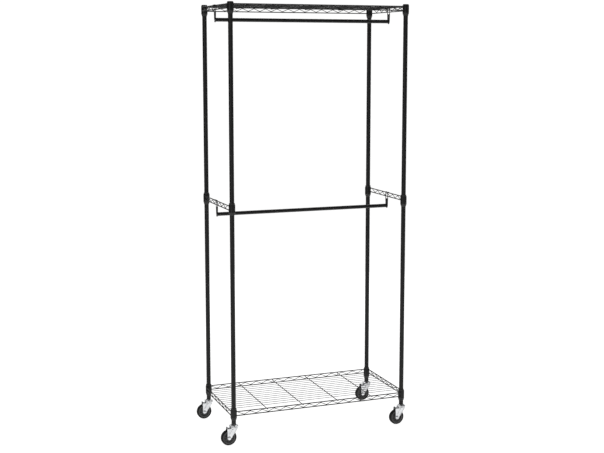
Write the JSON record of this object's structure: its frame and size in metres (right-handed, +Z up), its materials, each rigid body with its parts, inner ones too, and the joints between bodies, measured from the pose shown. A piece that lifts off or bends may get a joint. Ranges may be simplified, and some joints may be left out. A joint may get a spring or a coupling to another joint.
{
  "type": "rolling clothes rack",
  "caption": "Tall rolling wire clothes rack with hanging rods between tube posts, a wire shelf at the top and bottom, side ledges and swivel casters.",
  "frame": {"origin": "bottom centre of the whole rack's box, on the floor, with all casters trailing toward -X; the centre of the posts is 20.75 mm toward +X of it", "axes": "+Z up, +X to the right along the long side, +Y to the back; the front faces -Y"},
  "size_m": [0.9664, 0.4708, 2.084],
  "materials": {
    "black_powder_coat": "satin black powder coat",
    "black_plastic": "moulded black plastic, fine texture",
    "zinc_plate": "bright zinc plate on pressed steel",
    "bare_steel": "turned steel, out of sight",
    "black_tread": "black soft tread, slightly satin"
  },
  "bodies": {
    "frame": {"front_left_lower_post": "black_powder_coat", "front_left_upper_post": "black_powder_coat", "front_right_lower_post": "black_powder_coat", "front_right_upper_post": "black_powder_coat", "back_left_lower_post": "black_powder_coat", "back_left_upper_post": "black_powder_coat", "back_right_lower_post": "black_powder_coat", "back_right_upper_post": "black_powder_coat", "post_joiners": "bare_steel", "post_caps": "black_plastic", "bottom_sleeves": "black_plastic", "middle_sleeves": "black_plastic", "top_sleeves": "black_plastic", "bottom_shelf_collars": "black_powder_coat", "bottom_shelf_long_edge_wires": "black_powder_coat", "bottom_shelf_side_edge_wires": "black_powder_coat", "bottom_shelf_long_zigzags": "black_powder_coat", "bottom_shelf_side_zigzags": "black_powder_coat", "bottom_shelf_deck_wires": "black_powder_coat", "bottom_shelf_cross_wires": "black_powder_coat", "top_shelf_collars": "black_powder_coat", "top_shelf_long_edge_wires": "black_powder_coat", "top_shelf_side_edge_wires": "black_powder_coat", "top_shelf_long_zigzags": "black_powder_coat", "top_shelf_side_zigzags": "black_powder_coat", "top_shelf_deck_wires": "black_powder_coat", "top_shelf_cross_wires": "black_powder_coat", "left_ledge_collars": "black_powder_coat", "left_ledge_edge_wires": "black_powder_coat", "left_ledge_zigzag": "black_powder_coat", "right_ledge_collars": "black_powder_coat", "right_ledge_edge_wires": "black_powder_coat", "right_ledge_zigzag": "black_powder_coat", "lower_hanging_rod": "black_powder_coat", "lower_left_rod_bracket": "black_powder_coat", "lower_right_rod_bracket": "black_powder_coat", "upper_hanging_rod": "black_powder_coat", "upper_left_rod_bracket": "black_powder_coat", "upper_right_rod_bracket": "black_powder_coat", "rod_end_plugs": "black_plastic", "rod_screws": "zinc_plate", "caster_stems": "zinc_plate", "caster_sockets": "black_plastic", "swivel_balls": "bare_steel"},
    "front_left_fork": {"front_left_caster_fork": "zinc_plate", "front_left_caster_axle": "zinc_plate"},
    "front_left_wheel": {"front_left_wheel_tyre": "black_tread", "front_left_wheel_hub": "black_plastic"},
    "front_right_fork": {"front_right_caster_fork": "zinc_plate", "front_right_caster_axle": "zinc_plate"},
    "front_right_wheel": {"front_right_wheel_tyre": "black_tread", "front_right_wheel_hub": "black_plastic"},
    "back_left_fork": {"back_left_caster_fork": "zinc_plate", "back_left_caster_axle": "zinc_plate"},
    "back_left_wheel": {"back_left_wheel_tyre": "black_tread", "back_left_wheel_hub": "black_plastic"},
    "back_right_fork": {"back_right_caster_fork": "zinc_plate", "back_right_caster_axle": "zinc_plate"},
    "back_right_wheel": {"back_right_wheel_tyre": "black_tread", "back_right_wheel_hub": "black_plastic"}
  },
  "joints": [
    {"name": "front_left_swivel", "type": "hinge", "parent": "frame", "child": "front_left_fork", "pos_m": [-0.41975, -0.2135, 0.088], "axis": [0, 0, 1], "continuous": true},
    {"name": "front_left_roll", "type": "hinge", "parent": "front_left_fork", "child": "front_left_wheel", "pos_m": [-0.44575, -0.2135, 0.0375], "axis": [0, 1, 0], "continuous": true},
    {"name": "front_right_swivel", "type": "hinge", "parent": "frame", "child": "front_right_fork", "pos_m": [0.46125, -0.2135, 0.088], "axis": [0, 0, 1], "continuous": true},
    {"name": "front_right_roll", "type": "hinge", "parent": "front_right_fork", "child": "front_right_wheel", "pos_m": [0.43525, -0.2135, 0.0375], "axis": [0, 1, 0], "continuous": true},
    {"name": "back_left_swivel", "type": "hinge", "parent": "frame", "child": "back_left_fork", "pos_m": [-0.41975, 0.2135, 0.088], "axis": [0, 0, 1], "continuous": true},
    {"name": "back_left_roll", "type": "hinge", "parent": "back_left_fork", "child": "back_left_wheel", "pos_m": [-0.44575, 0.2135, 0.0375], "axis": [0, 1, 0], "continuous": true},
    {"name": "back_right_swivel", "type": "hinge", "parent": "frame", "child": "back_right_fork", "pos_m": [0.46125, 0.2135, 0.088], "axis": [0, 0, 1], "continuous": true},
    {"name": "back_right_roll", "type": "hinge", "parent": "back_right_fork", "child": "back_right_wheel", "pos_m": [0.43525, 0.2135, 0.0375], "axis": [0, 1, 0], "continuous": true}
  ]
}
